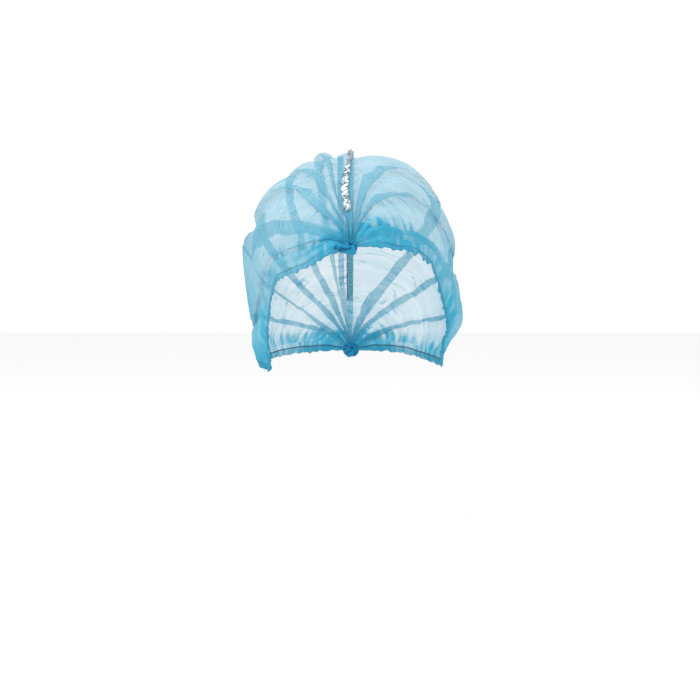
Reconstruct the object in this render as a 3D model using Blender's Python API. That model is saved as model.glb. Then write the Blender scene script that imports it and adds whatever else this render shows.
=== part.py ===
# Disposable pleated hair cover with a foil strip on its centre pleat, in the form it has when worn.
# Metres, +Z up, the face side is -Y and the wearer's left is +X.
# The origin is where the crown of the head touches the underside of the cloth.

import math

import bmesh
import bpy
import numpy as np

# The form that the cloth lies on.
BREADTH = 0.156
LENGTH = 0.197
DOME_HEIGHT = 0.0915  # from the crown down to where the sides hang straight
FRONT_KNOT_DEPTH = 0.070  # crown to the gather on the forehead
REAR_KNOT_DEPTH = 0.152  # crown to the gather at the nape
RIM_SAG = 0.046  # how far the rim hangs below the line between the two knots
ROUNDNESS = 2.2  # 2 is an ellipse, more is squarer

# The cloth and its pleats.
SHEET_WALL = 0.0012
PLEAT_HEIGHT = 0.004
PLEAT_STEP = 0.003  # width of the step on the steep side of a pleat
GORE_BILLOW = 0.0025  # how far the cloth between two pleats swells
EDGE_BILLOW = 0.8  # share of it above the edge band
CENTRE_PLEAT_LEFT = 0.0085  # the centre pleat is a ridge that leans: a long slope on the left side
CENTRE_PLEAT_RIGHT = 0.0012  # and a short one on the right
CENTRE_PLEAT_HEIGHT = 0.0033
CENTRE_PLEAT_LOW = 0.35  # share of its height at the far edge of the long slope

# The edge band and the elastic thread in it.
HEM_WIDTH = 0.0095
RUFFLE_HEIGHT = 0.0028
RUFFLE_PITCH = 0.013
RUFFLE_SWAY = 0.12  # how far the edge goes up and down, as a share of the band's width
FLAT_RUFFLE = 0.15  # share of the ruffle's height that is left next to a knot
ELASTIC_DIAMETER = 0.001

# The foil strip and the gathered ends.
FOIL_WIDTH = 0.0046
FOIL_OFFSET_FRONT = 0.0038  # from the middle line, at the forehead
FOIL_OFFSET_CROWN = 0.0014  # and over the crown
FOIL_DRIFT = 60  # degrees from the front knot over which the offset changes
FOIL_WALL = 0.0005
FOIL_CREASE = 0.0006
FOIL_START = 0.0235  # from the front knot, measured over the cloth
FOIL_END = 0.040  # from the nape knot, measured over the cloth
FRONT_KNOT_RADIUS = 0.0062
REAR_KNOT_RADIUS = 0.0070
KNOT_HEIGHT = 0.0055  # how far a knot stands out of the sheet
KNOT_INSIDE = 0.0015  # how far it stands in
KNOT_RIB_DEPTH = 0.0022
KNOT_RIBS = 9

FIT_GAP = 0.0003  # between neighbouring pieces

# Angles along the sheet from the front knot, in degrees, at which the tables below give their values.
STATIONS = (0, 10, 20, 32, 48, 64, 80, 120, 180)

# How the hanging form narrows. Depth is a share of the depth where the sides begin to hang straight,
# the rest are shares of half the breadth or half the length.
HANG_COLUMNS = ("depth", "left", "right", "front", "rear")
HANG = (
    (0.00, 0.985, 0.990, 1.00, 1.00),
    (1.00, 0.985, 1.005, 1.00, 1.01),
    (1.22, 0.965, 1.020, 1.00, 0.98),
    (1.38, 0.950, 1.015, 1.00, 0.92),
    (1.55, 0.930, 0.920, 1.00, 0.85),
    (1.80, 0.860, 0.860, 1.00, 0.75),
    (2.15, 0.800, 0.820, 1.00, 0.70),
)

# The rim, as shares of RIM_SAG below the straight line between the knots.
RIM_COLUMNS = ("angle", "left", "right")
RIM = (
    (0, 0.00, 0.00),
    (10, 0.04, -0.09),
    (20, 0.12, -0.14),
    (30, 0.14, -0.18),
    (38, 0.15, -0.12),
    (46, 0.29, 0.05),
    (54, 0.52, 0.30),
    (63, 0.82, 0.50),
    (74, 1.18, 0.66),
    (88, 1.04, 0.80),
    (105, 0.86, 0.86),
    (130, 0.60, 0.64),
    (155, 0.28, 0.28),
    (180, 0.00, 0.00),
)

# The pleats of each side, from the centre outwards. Place is a share of the way to the edge band and crest
# a share of PLEAT_HEIGHT, at each of the STATIONS. Steep is 1 where the outer side of the crest drops
# steeply and -1 where the inner side does. Billow is a share of GORE_BILLOW for the cloth inside it.
PLEAT_COLUMNS = ("name", "steep", "billow", "place", "crest")
LEFT_PLEATS = (
    (
        "peak",
        1,
        0.0,
        (0.09, 0.12, 0.16, 0.15, 0.13, 0.11, 0.11, 0.12, 0.14),
        (0, 0.3, 0.6, 0.9, 1.1, 1.3, 1.2, 0.8, 0),
    ),
    (
        "fan",
        1,
        0.4,
        (0.17, 0.21, 0.24, 0.25, 0.26, 0.22, 0.22, 0.25, 0.27),
        (0, 0.3, 0.5, 0.8, 0.8, 0.6, 0.6, 0.6, 0),
    ),
    (
        "arch",
        1,
        0.8,
        (0.29, 0.38, 0.40, 0.40, 0.39, 0.37, 0.38, 0.42, 0.42),
        (0, 0.3, 0.5, 0.8, 0.9, 1.2, 1.1, 0.7, 0),
    ),
    (
        "lip",
        -1,
        1.0,
        (0.48, 0.60, 0.60, 0.66, 0.64, 0.54, 0.50, 0.55, 0.58),
        (0, 0.6, 0.9, 1.4, 1.8, 2.1, 1.9, 1.0, 0),
    ),
    (
        "side",
        1,
        0.6,
        (0.72, 0.85, 0.86, 0.89, 0.89, 0.86, 0.84, 0.80, 0.78),
        (0, 0.3, 0.4, 0.5, 0.6, 0.6, 0.6, 0.6, 0),
    ),
)
RIGHT_PLEATS = (
    (
        "arch",
        1,
        1.0,
        (0.14, 0.22, 0.19, 0.22, 0.28, 0.34, 0.36, 0.34, 0.28),
        (0, 0.3, 0.5, 0.8, 1.1, 1.4, 1.3, 0.8, 0),
    ),
    (
        "swag",
        1,
        1.0,
        (0.28, 0.34, 0.36, 0.48, 0.59, 0.60, 0.58, 0.55, 0.48),
        (0, 0.3, 0.5, 0.8, 0.7, 0.6, 0.6, 0.6, 0),
    ),
    (
        "side",
        -1,
        0.8,
        (0.54, 0.67, 0.84, 0.90, 0.88, 0.80, 0.77, 0.76, 0.70),
        (0, 0.3, 0.4, 0.6, 0.7, 0.8, 0.8, 0.7, 0),
    ),
)

# Where the cloth is gathered towards a knot, widths across it shrink to these shares of the turn.
STEP_SHARE = 0.04
HEM_SHARE = 0.3
CENTRE_PLEAT_SHARE = 0.8  # of the way to the first pleat
FOIL_SHARE = 0.42
FRONT_GATHER = 30  # degrees from the front knot over which the gathered cloth opens out
REAR_GATHER = 40

SHEET_ROWS = 34
ROW_CROWDING = 0.28  # 0 spaces the rows evenly, more crowds them towards the forehead
COLUMNS_BETWEEN_PLEATS = 3
HEM_STEPS = 3  # rows of the edge band for each row of the sheet
FOIL_ROWS = 44
ELASTIC_ROWS = 50

COLOURS = {
    "cloth": (0.35, 0.72, 0.86, 1.0),
    "hem": (0.16, 0.53, 0.76, 1.0),
    "knot": (0.02, 0.22, 0.48, 1.0),
    "foil": (0.85, 0.87, 0.88, 1.0),
    "elastic": (0.05, 0.28, 0.38, 1.0),
}


def curve_through(xs, ys, at):
    """A smooth curve through the points of a table, read at any places."""
    xs = np.asarray(xs, float)
    ys = np.asarray(ys, float)
    slopes = np.gradient(ys, xs)
    slot = np.clip(np.searchsorted(xs, at) - 1, 0, len(xs) - 2)
    width = xs[slot + 1] - xs[slot]
    t = np.clip((at - xs[slot]) / width, 0, 1)
    return (
        ys[slot] * (1 + 2 * t) * (1 - t) ** 2
        + slopes[slot] * width * t * (1 - t) ** 2
        + ys[slot + 1] * t**2 * (3 - 2 * t)
        - slopes[slot + 1] * width * t**2 * (1 - t)
    )


def column(table, names, name):
    return [row[names.index(name)] for row in table]


def hang_share(depth, name):
    depths = np.array(column(HANG, HANG_COLUMNS, "depth")) * DOME_HEIGHT
    return curve_through(depths, column(HANG, HANG_COLUMNS, name), depth)


def dome_share(depth):
    """How much of its full width the form has at a depth below the crown."""
    share = np.clip(depth / DOME_HEIGHT, 1e-9, 1)
    return (1 - (1 - share) ** ROUNDNESS) ** (1 / ROUNDNESS)


def inside_form(points):
    x, y, z = points[..., 0], points[..., 1], points[..., 2]
    across = np.where(x < 0, hang_share(-z, "left"), hang_share(-z, "right")) * dome_share(-z)
    along = np.where(y < 0, hang_share(-z, "front"), hang_share(-z, "rear")) * dome_share(-z)
    reach = (np.abs(x) * 2 / BREADTH / across) ** ROUNDNESS + (np.abs(y) * 2 / LENGTH / along) ** ROUNDNESS
    return (z < 0) & (reach < 1)


def surface_knot(depth, name):
    """The point of the form's middle line at a depth, in front or behind."""
    reach = LENGTH / 2 * dome_share(np.array(depth)) * hang_share(np.array(depth), name)
    return np.array((0, -reach if name == "front" else reach, -depth))


FRONT_KNOT = surface_knot(FRONT_KNOT_DEPTH, "front")
REAR_KNOT = surface_knot(REAR_KNOT_DEPTH, "rear")
HUB = (FRONT_KNOT + REAR_KNOT) / 2  # every point of the sheet is seen from here
FORWARD = (FRONT_KNOT - HUB) / np.linalg.norm(FRONT_KNOT - HUB)
SIDEWAYS = np.array((1.0, 0.0, 0.0))
UPWARD = np.cross(SIDEWAYS, FORWARD) * -1
HALF_SPAN = np.linalg.norm(FRONT_KNOT - HUB)


def ray(angle, turn):
    """Direction from the hub. Angle runs from the front knot to the rear one, turn from the middle line."""
    around = np.cos(turn)[..., None] * UPWARD + np.sin(turn)[..., None] * SIDEWAYS
    return np.cos(angle)[..., None] * FORWARD + np.sin(angle)[..., None] * around


def form_radius(angle, turn):
    """Distance from the hub to the form, found by halving."""
    direction = ray(angle, turn)
    near = np.zeros(direction.shape[:-1])
    far = near + 2 * (BREADTH + LENGTH)
    for _ in range(44):
        middle = (near + far) / 2
        inside = inside_form(HUB + middle[..., None] * direction)
        near = np.where(inside, middle, near)
        far = np.where(inside, far, middle)
    return (near + far) / 2


def place(angle, turn, lift):
    """Points that stand off the form by lift, seen from the hub."""
    angle, turn = np.broadcast_arrays(angle, turn)
    return HUB + (form_radius(angle, turn) + lift)[..., None] * ray(angle, turn)


def rim_turn(angle, side):
    """Turn from the middle line at which the form reaches the rim's depth."""
    share = angle / math.pi
    name = "left" if side < 0 else "right"
    sag = curve_through(column(RIM, RIM_COLUMNS, "angle"), column(RIM, RIM_COLUMNS, name), np.degrees(angle))
    depth = FRONT_KNOT_DEPTH + (REAR_KNOT_DEPTH - FRONT_KNOT_DEPTH) * share + RIM_SAG * sag
    near = np.full(angle.shape, 0.5)
    far = np.full(angle.shape, 3.0)
    for _ in range(30):
        middle = (near + far) / 2
        above = place(angle, side * middle, 0.0)[..., 2] > -depth
        near = np.where(above, middle, near)
        far = np.where(above, far, middle)
    return (near + far) / 2


def turn_for(width, angle):
    """Turn that a width across the sheet takes, which is wider near the knots."""
    return width / (HALF_SPAN * np.sin(angle))


def run_along(line):
    """Length from the start of a line of points to each of them."""
    return np.concatenate(([0], np.cumsum(np.linalg.norm(np.diff(line, axis=0), axis=1))))


def hem_turn(angle, rim):
    return np.minimum(turn_for(HEM_WIDTH, angle), HEM_SHARE * rim)


def knot_angle(radius):
    return math.asin((radius + 2 * FIT_GAP) / (0.95 * HALF_SPAN))


def sheet_angles(count):
    """Rows of the sheet, closer together at the forehead where the pleats fan out."""
    first = knot_angle(FRONT_KNOT_RADIUS)
    last = math.pi - knot_angle(REAR_KNOT_RADIUS)
    share = np.linspace(0, 1, count)
    return first + (last - first) * ((1 - ROW_CROWDING) * share + ROW_CROWDING * share**2)


def fullness(angle):
    """0 at the knots, where the cloth is gathered flat, and 1 over the crown."""
    rise = np.clip(np.degrees(angle) / FRONT_GATHER, 0, 1)
    fall = np.clip((180 - np.degrees(angle)) / REAR_GATHER, 0, 1)
    return rise * (2 - rise) * fall * (2 - fall)


def stand_off():
    """Room that the elastic thread needs between the form and the edge band."""
    return ELASTIC_DIAMETER + 2 * FIT_GAP


def crown_turn(angle, side):
    """Turn at which the sheet ends and the edge band begins."""
    rim = rim_turn(angle, side)
    return rim - hem_turn(angle, rim) - turn_for(FIT_GAP, angle)


def pleat_turn(pleat, angle, edge):
    return curve_through(STATIONS, pleat["place"], np.degrees(angle)) * edge


def pleats_of(side):
    return [dict(zip(PLEAT_COLUMNS, row)) for row in (LEFT_PLEATS if side < 0 else RIGHT_PLEATS)]


def centre_turn(angle, side):
    """Turn from the middle line to the edge of the centre pleat."""
    width = CENTRE_PLEAT_LEFT if side < 0 else CENTRE_PLEAT_RIGHT
    most = CENTRE_PLEAT_SHARE * pleat_turn(pleats_of(side)[0], angle, crown_turn(angle, side))
    return np.minimum(turn_for(width, angle), most * width / CENTRE_PLEAT_LEFT)


def centre_lift(angle, turn):
    """Lift of the centre pleat between its low left edge and its crest on the right."""
    low = -centre_turn(angle, -1)
    high = centre_turn(angle, 1)
    share = CENTRE_PLEAT_LOW + (1 - CENTRE_PLEAT_LOW) * (turn - low) / (high - low)
    return CENTRE_PLEAT_HEIGHT * fullness(angle) * share


def half_sheet(angle, side):
    """Turns and lifts of one half, from the edge of the centre pleat out to the edge band."""
    edge = crown_turn(angle, side)
    step = np.minimum(turn_for(PLEAT_STEP, angle), STEP_SHARE * edge)
    pleats = pleats_of(side)
    centre = centre_turn(angle, side)
    room = pleat_turn(pleats[0], angle, edge) - centre
    turns = [centre, centre + np.minimum(step, room / 2)]
    lifts = [centre_lift(angle, centre * side), 0 * angle]
    for pleat in pleats:
        crest_turn = pleat_turn(pleat, angle, edge)
        crest = curve_through(STATIONS, pleat["crest"], np.degrees(angle)) * PLEAT_HEIGHT
        pair = [(crest_turn, crest), (crest_turn + step, 0 * angle)]
        if pleat["steep"] < 0:
            pair = [(crest_turn - step, 0 * angle), (crest_turn, crest)]
        add_gore(turns, lifts, *pair[0], pleat["billow"] * GORE_BILLOW * fullness(angle))
        turns.append(pair[1][0])
        lifts.append(pair[1][1])
    add_gore(turns, lifts, edge, stand_off() + 0 * angle, EDGE_BILLOW * GORE_BILLOW * fullness(angle))
    return np.stack(turns, -1) * side, np.stack(lifts, -1)


def add_gore(turns, lifts, turn, lift, billow):
    """Columns of the cloth between the last pleat and the next, which swells between them."""
    start_turn, start_lift = turns[-1], lifts[-1]
    count = COLUMNS_BETWEEN_PLEATS + 1
    for step in range(1, count):
        t = step / count
        ease = t * t * (3 - 2 * t)
        turns.append(start_turn + (turn - start_turn) * t)
        lifts.append(start_lift + (lift - start_lift) * ease + billow * 4 * t * (1 - t))
    turns.append(turn)
    lifts.append(lift)


def material(name, finish, roughness, metallic=0.0):
    made = bpy.data.materials.new(name)
    made.use_nodes = True
    shader = made.node_tree.nodes["Principled BSDF"]
    shader.inputs["Base Color"].default_value = COLOURS[finish]
    shader.inputs["Roughness"].default_value = roughness
    shader.inputs["Metallic"].default_value = metallic
    return made


def add_object(name, bm, finish, roughness, metallic=0.0):
    """Turns the finished bmesh into a named object with its own material."""
    bmesh.ops.recalc_face_normals(bm, faces=bm.faces)
    mesh = bpy.data.meshes.new(name)
    bm.to_mesh(mesh)
    bm.free()
    mesh.shade_smooth()
    mesh.set_sharp_from_angle(angle=math.radians(40))
    mesh.materials.append(material(name + "_finish", finish, roughness, metallic))
    made = bpy.data.objects.new(name, mesh)
    bpy.context.scene.collection.objects.link(made)
    return made


def shell(name, grid, wall, finish, roughness, metallic=0.0):
    """A skin through a grid of points, extruded away from the hub to a wall."""
    bm = bmesh.new()
    rows, columns = grid.shape[:2]
    verts = [[bm.verts.new(point) for point in row] for row in grid]
    for i in range(rows - 1):
        for j in range(columns - 1):
            bm.faces.new((verts[i][j], verts[i + 1][j], verts[i + 1][j + 1], verts[i][j + 1]))
    grown = bmesh.ops.extrude_face_region(bm, geom=bm.faces[:])
    for vert in grown["geom"]:
        if isinstance(vert, bmesh.types.BMVert):
            outward = np.array(vert.co) - HUB
            vert.co = HUB + outward * (1 + wall / np.linalg.norm(outward))
    bmesh.ops.triangulate(bm, faces=bm.faces[:])
    return add_object(name, bm, finish, roughness, metallic)


def make_crown_sheet():
    angle = sheet_angles(SHEET_ROWS)
    left_turns, left_lifts = half_sheet(angle, -1)
    right_turns, right_lifts = half_sheet(angle, 1)
    turns = np.concatenate((left_turns[:, ::-1], right_turns), axis=1)
    lifts = np.concatenate((left_lifts[:, ::-1], right_lifts), axis=1)
    shell("crown_sheet", place(angle[:, None], turns, lifts), SHEET_WALL, "cloth", 0.8)


def make_hem(name, side):
    """Edge band that is gathered flat along the elastic and waves below it."""
    rows = sheet_angles(SHEET_ROWS)
    rim = rim_turn(rows, side)
    top = place(rows, (rim - hem_turn(rows, rim)) * side, stand_off())
    count = HEM_STEPS * (SHEET_ROWS - 1) + 1
    steps = np.arange(count) / HEM_STEPS
    angle = np.interp(steps, np.arange(SHEET_ROWS), rows)
    top = np.stack([np.interp(steps, np.arange(SHEET_ROWS), top[:, axis]) for axis in range(3)], -1)
    rim = rim_turn(angle, side)
    width = hem_turn(angle, rim)
    line = place(angle, rim * side, 0.0)
    wave = np.sin(run_along(line) / RUFFLE_PITCH * 2 * math.pi)
    middle = place(angle, (rim - 0.5 * width) * side, stand_off())
    ruffle = RUFFLE_HEIGHT * (1 + wave) / 2 * np.maximum(fullness(angle), FLAT_RUFFLE)
    edge = place(angle, (rim + RUFFLE_SWAY * width * wave) * side, stand_off() + ruffle)
    shell(name, np.stack((top, middle, edge), 1), SHEET_WALL, "hem", 0.8)


def make_elastic(name, side):
    """Thread inside the edge band, from one knot to the other."""
    angle = sheet_angles(ELASTIC_ROWS)
    angle[0] += ELASTIC_DIAMETER / HALF_SPAN
    angle[-1] -= ELASTIC_DIAMETER / HALF_SPAN
    rim = rim_turn(angle, side)
    turns = (rim - 0.5 * hem_turn(angle, rim)) * side
    path = place(angle, turns, stand_off() - 1.5 * FIT_GAP - ELASTIC_DIAMETER / 2)
    data = bpy.data.curves.new(name, "CURVE")
    data.dimensions = "3D"
    data.bevel_depth = ELASTIC_DIAMETER / 2
    data.bevel_resolution = 1
    data.use_fill_caps = True
    spline = data.splines.new("POLY")
    spline.points.add(len(path) - 1)
    for point, co in zip(spline.points, path):
        point.co = (*co, 1.0)
    data.materials.append(material(name + "_finish", "elastic", 0.6))
    made = bpy.data.objects.new(name, data)
    bpy.context.scene.collection.objects.link(made)


def make_foil_strip():
    """Creased strip that lies on top of the centre pleat."""
    rows = sheet_angles(2001)
    run = run_along(place(rows, 0 * rows, 0.0))
    first = np.interp(FOIL_START, run, rows)
    last = np.interp(run[-1] - FOIL_END, run, rows)
    angle = np.linspace(first, last, FOIL_ROWS)
    crease = FOIL_CREASE * (np.arange(FOIL_ROWS) % 2)
    slope = centre_turn(angle, -1)
    drift = np.clip(np.degrees(angle) / FOIL_DRIFT, 0, 1)
    offset = FOIL_OFFSET_FRONT + (FOIL_OFFSET_CROWN - FOIL_OFFSET_FRONT) * drift
    half = np.minimum(turn_for(FOIL_WIDTH / 2, angle), FOIL_SHARE * slope)
    middle = -np.minimum(turn_for(offset, angle), slope / 2)
    turns = np.stack((middle - half, middle, middle + half), -1)
    bulge = np.stack((crease, FOIL_CREASE - crease, crease), -1)
    seat = centre_lift(angle[:, None], turns) + SHEET_WALL + 2 * FIT_GAP
    shell("foil_strip", place(angle[:, None], turns, seat + bulge), FOIL_WALL, "foil", 0.3, 1.0)


def make_knot(name, at_front, radius):
    """Gathered and welded pleat ends: a ribbed button that fills the hole where the pleats meet."""
    reach = knot_angle(radius) - FIT_GAP / HALF_SPAN
    bm = bmesh.new()
    bmesh.ops.create_uvsphere(bm, u_segments=2 * KNOT_RIBS, v_segments=9, radius=1.0)
    for vert in bm.verts:
        x, y, z = vert.co
        turn = math.atan2(x, y)
        spread = min(math.hypot(x, y), 1.0)
        rib = KNOT_RIB_DEPTH * spread * (1 + math.cos(KNOT_RIBS * turn)) / 2
        bulge = z * (KNOT_HEIGHT - rib) if z > 0 else z * KNOT_INSIDE
        angle = reach * spread if at_front else math.pi - reach * spread
        vert.co = place(np.array(angle), np.array(turn), SHEET_WALL / 2 + bulge)
    bmesh.ops.triangulate(bm, faces=bm.faces[:])
    add_object(name, bm, "knot", 0.55)


def main():
    for old in list(bpy.data.objects):
        bpy.data.objects.remove(old, do_unlink=True)
    make_crown_sheet()
    make_hem("hem_left", -1)
    make_hem("hem_right", 1)
    make_elastic("elastic_left", -1)
    make_elastic("elastic_right", 1)
    make_foil_strip()
    make_knot("front_knot", True, FRONT_KNOT_RADIUS)
    make_knot("rear_knot", False, REAR_KNOT_RADIUS)


main()
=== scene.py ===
import math

import bpy
import numpy as np
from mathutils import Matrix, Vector, noise


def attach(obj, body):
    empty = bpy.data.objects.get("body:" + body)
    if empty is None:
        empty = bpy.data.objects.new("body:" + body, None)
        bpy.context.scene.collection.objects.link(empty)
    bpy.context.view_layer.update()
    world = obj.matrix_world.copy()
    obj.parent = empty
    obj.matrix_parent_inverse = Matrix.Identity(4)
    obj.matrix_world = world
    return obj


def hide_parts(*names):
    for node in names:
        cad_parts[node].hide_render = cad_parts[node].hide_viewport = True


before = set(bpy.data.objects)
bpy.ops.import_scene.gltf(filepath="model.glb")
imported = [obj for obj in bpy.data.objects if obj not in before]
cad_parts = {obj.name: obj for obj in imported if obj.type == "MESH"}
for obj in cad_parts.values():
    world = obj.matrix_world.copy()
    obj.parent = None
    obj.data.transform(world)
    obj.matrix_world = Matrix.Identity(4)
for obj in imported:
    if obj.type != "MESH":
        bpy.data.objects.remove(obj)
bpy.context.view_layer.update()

# The form that the cloth lies on, as the CAD model has it.

form = {
    "breadth": 0.156,
    "length": 0.197,
    "domeHeight": 0.0915,
    "frontKnotDepth": 0.070,
    "rearKnotDepth": 0.152,
    "rimSag": 0.046,
    "roundness": 2.2,
}

hangColumns = ("depth", "left", "right", "front", "rear")
hang = (
    (0.00, 0.985, 0.990, 1.00, 1.00),
    (1.00, 0.985, 1.005, 1.00, 1.01),
    (1.22, 0.965, 1.020, 1.00, 0.98),
    (1.38, 0.950, 1.015, 1.00, 0.92),
    (1.55, 0.930, 0.920, 1.00, 0.85),
    (1.80, 0.860, 0.860, 1.00, 0.75),
    (2.15, 0.800, 0.820, 1.00, 0.70),
)

rimColumns = ("angle", "left", "right")
rimTable = (
    (0, 0.00, 0.00),
    (10, 0.04, -0.09),
    (20, 0.12, -0.14),
    (30, 0.14, -0.18),
    (38, 0.15, -0.12),
    (46, 0.29, 0.05),
    (54, 0.52, 0.30),
    (63, 0.82, 0.50),
    (74, 1.18, 0.66),
    (88, 1.04, 0.80),
    (105, 0.86, 0.86),
    (130, 0.60, 0.64),
    (155, 0.28, 0.28),
    (180, 0.00, 0.00),
)


def curveThrough(xs, ys, at):
    xs = np.asarray(xs, float)
    ys = np.asarray(ys, float)
    slopes = np.gradient(ys, xs)
    slot = np.clip(np.searchsorted(xs, at) - 1, 0, len(xs) - 2)
    width = xs[slot + 1] - xs[slot]
    t = np.clip((at - xs[slot]) / width, 0, 1)
    return (
        ys[slot] * (1 + 2 * t) * (1 - t) ** 2
        + slopes[slot] * width * t * (1 - t) ** 2
        + ys[slot + 1] * t**2 * (3 - 2 * t)
        - slopes[slot + 1] * width * t**2 * (1 - t)
    )


def column(table, names, name):
    return [row[names.index(name)] for row in table]


def hangShare(depth, name):
    depths = np.array(column(hang, hangColumns, "depth")) * form["domeHeight"]
    return curveThrough(depths, column(hang, hangColumns, name), depth)


def domeShare(depth):
    share = np.clip(depth / form["domeHeight"], 1e-9, 1)
    return (1 - (1 - share) ** form["roundness"]) ** (1 / form["roundness"])


def insideForm(points):
    x, y, z = points[..., 0], points[..., 1], points[..., 2]
    dome = domeShare(-z)
    across = np.where(x < 0, hangShare(-z, "left"), hangShare(-z, "right")) * dome
    along = np.where(y < 0, hangShare(-z, "front"), hangShare(-z, "rear")) * dome
    power = form["roundness"]
    reach = (np.abs(x) * 2 / form["breadth"] / across) ** power
    reach = reach + (np.abs(y) * 2 / form["length"] / along) ** power
    return (z < 0) & (reach < 1)


def surfaceKnot(depth, name):
    reach = form["length"] / 2 * domeShare(np.array(depth)) * hangShare(np.array(depth), name)
    return np.array((0, -reach if name == "front" else reach, -depth))


frontKnotPoint = surfaceKnot(form["frontKnotDepth"], "front")
rearKnotPoint = surfaceKnot(form["rearKnotDepth"], "rear")
hub = (frontKnotPoint + rearKnotPoint) / 2  # the whole sheet is seen from here
halfSpan = np.linalg.norm(frontKnotPoint - hub)
forward = (frontKnotPoint - hub) / halfSpan
sideways = np.array((1.0, 0.0, 0.0))
upward = np.cross(forward, sideways)


def ray(angle, turn):
    around = np.cos(turn)[..., None] * upward + np.sin(turn)[..., None] * sideways
    return np.cos(angle)[..., None] * forward + np.sin(angle)[..., None] * around


def formRadius(angle, turn):
    direction = ray(angle, turn)
    near = np.zeros(direction.shape[:-1])
    far = near + 2 * (form["breadth"] + form["length"])
    for _ in range(34):
        middle = (near + far) / 2
        inside = insideForm(hub + middle[..., None] * direction)
        near = np.where(inside, middle, near)
        far = np.where(inside, far, middle)
    return (near + far) / 2


def place(angle, turn, lift):
    angle, turn = np.broadcast_arrays(angle, turn)
    return hub + (formRadius(angle, turn) + lift)[..., None] * ray(angle, turn)


def rimTurn(angle, side):
    share = angle / math.pi
    name = "left" if side < 0 else "right"
    angles = column(rimTable, rimColumns, "angle")
    sag = curveThrough(angles, column(rimTable, rimColumns, name), np.degrees(angle))
    drop = form["rearKnotDepth"] - form["frontKnotDepth"]
    depth = form["frontKnotDepth"] + drop * share + form["rimSag"] * sag
    near = np.full(angle.shape, 0.5)
    far = np.full(angle.shape, 3.0)
    for _ in range(26):
        middle = (near + far) / 2
        above = place(angle, side * middle, 0.0)[..., 2] > -depth
        near = np.where(above, middle, near)
        far = np.where(above, far, middle)
    return (near + far) / 2


def turnFor(width, angle):
    return width / (halfSpan * np.sin(angle))


def runAlong(line):
    return np.concatenate(([0], np.cumsum(np.linalg.norm(np.diff(line, axis=0), axis=1))))


def smooth(t):
    t = np.clip(t, 0, 1)
    return t * t * (3 - 2 * t)


def ramp(value, start, end):
    return smooth((value - start) / (end - start))


def noiseAt(x, y, seed):
    x, y = np.broadcast_arrays(x, y)
    values = [noise.noise((a, b, seed)) for a, b in zip(x.ravel().tolist(), y.ravel().tolist())]
    return np.array(values).reshape(x.shape)


# The cloth: one sheet, folded into pleats that run from knot to knot.

cloth = {
    "rows": 360,
    "rowCrowding": 0.28,
    "goreSpacing": 0.0028,
    "gatherHole": 0.0028,  # radius of the gathered ends inside each knot
    "pleatHeight": 0.004,
    "pleatStep": 0.003,
    "overlapShare": 0.72,  # of the cloth between two pleats that an overlap may cover
    "rearOverlap": 0.6,  # overlaps narrow to this share towards the nape
    "rearNarrowing": (80, 130),
    "frontWidening": (35, 70),
    "overlapWander": ((0.026, 0.60, 3.1), (0.011, 0.35, 5.9)),  # length, depth and seed
    "raiseShare": 0.18,
    "lowerShare": 0.4,
    "tuck": 0.003,
    "tuckShare": 0.6,
    "layerGap": 0.0005,
    "foldRound": 0.00045,
    "valleyLift": 0.12,
    "goreBillow": 0.0025,
    "edgeBillow": 0.8,
    "centreLeft": 0.0085,
    "centreRight": 0.0012,
    "centreHeight": 0.0042,
    "centreLow": 0.05,
    "centreShare": 0.8,
    "crestWander": 0.0009,
    "crestWanderLength": 0.011,
    "standOff": 0.0016,
    "stepShare": 0.04,
    "frontGather": 30,
    "rearGather": 40,
}

hem = {
    "width": 0.0095,
    "turnShare": 0.3,
    "rowsPerClothRow": 2,
    "shares": (0.0, 0.12, 0.25, 0.37, 0.45, 0.5, 0.55, 0.63, 0.74, 0.87, 1.0),
    "elasticShare": 0.5,
    "pinch": 0.0004,
    "ruffleHeight": 0.0024,
    "ruffleLength": 0.0040,
    "ruffleSway": 0.24,
    "foldedBack": (0.9, 0.74, 0.6),  # the edge is folded in and welded over the thread
    "foldGap": 0.0011,
    "flankRuffle": 0.6,
    "flankFrom": (45, 70),
}

# Angles along the sheet at which the pleat tables give their values.
stations = (0, 10, 20, 32, 48, 64, 80, 120, 180)
pleatColumns = ("name", "steep", "billow", "overlap", "frontShare", "place", "crest")
leftPleats = (
    (
        "peak", 1, 0.0, 0.0050, 1.0,
        (0.09, 0.12, 0.16, 0.15, 0.13, 0.11, 0.11, 0.12, 0.14),
        (0, 0.3, 0.6, 0.9, 1.1, 1.3, 1.2, 0.8, 0),
    ),
    (
        "fan", 1, 0.4, 0.0060, 1.0,
        (0.17, 0.21, 0.24, 0.25, 0.26, 0.22, 0.22, 0.25, 0.27),
        (0, 0.3, 0.5, 0.8, 0.8, 0.6, 0.6, 0.6, 0),
    ),
    (
        "arch", 1, 0.4, 0.0075, 1.0,
        (0.29, 0.38, 0.40, 0.40, 0.39, 0.37, 0.38, 0.42, 0.42),
        (0, 0.3, 0.5, 0.8, 0.9, 1.2, 1.1, 0.7, 0),
    ),
    (
        "lip", -1, 0.3, 0.0062, 0.9,
        (0.48, 0.60, 0.60, 0.66, 0.64, 0.54, 0.50, 0.55, 0.58),
        (0, 0.6, 0.9, 1.4, 1.8, 2.1, 1.9, 1.0, 0),
    ),
    (
        "side", 1, 0.6, 0.0045, 0.3,
        (0.72, 0.85, 0.86, 0.89, 0.89, 0.86, 0.84, 0.80, 0.78),
        (0, 0.3, 0.4, 0.5, 0.6, 0.6, 0.6, 0.6, 0),
    ),
)
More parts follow.
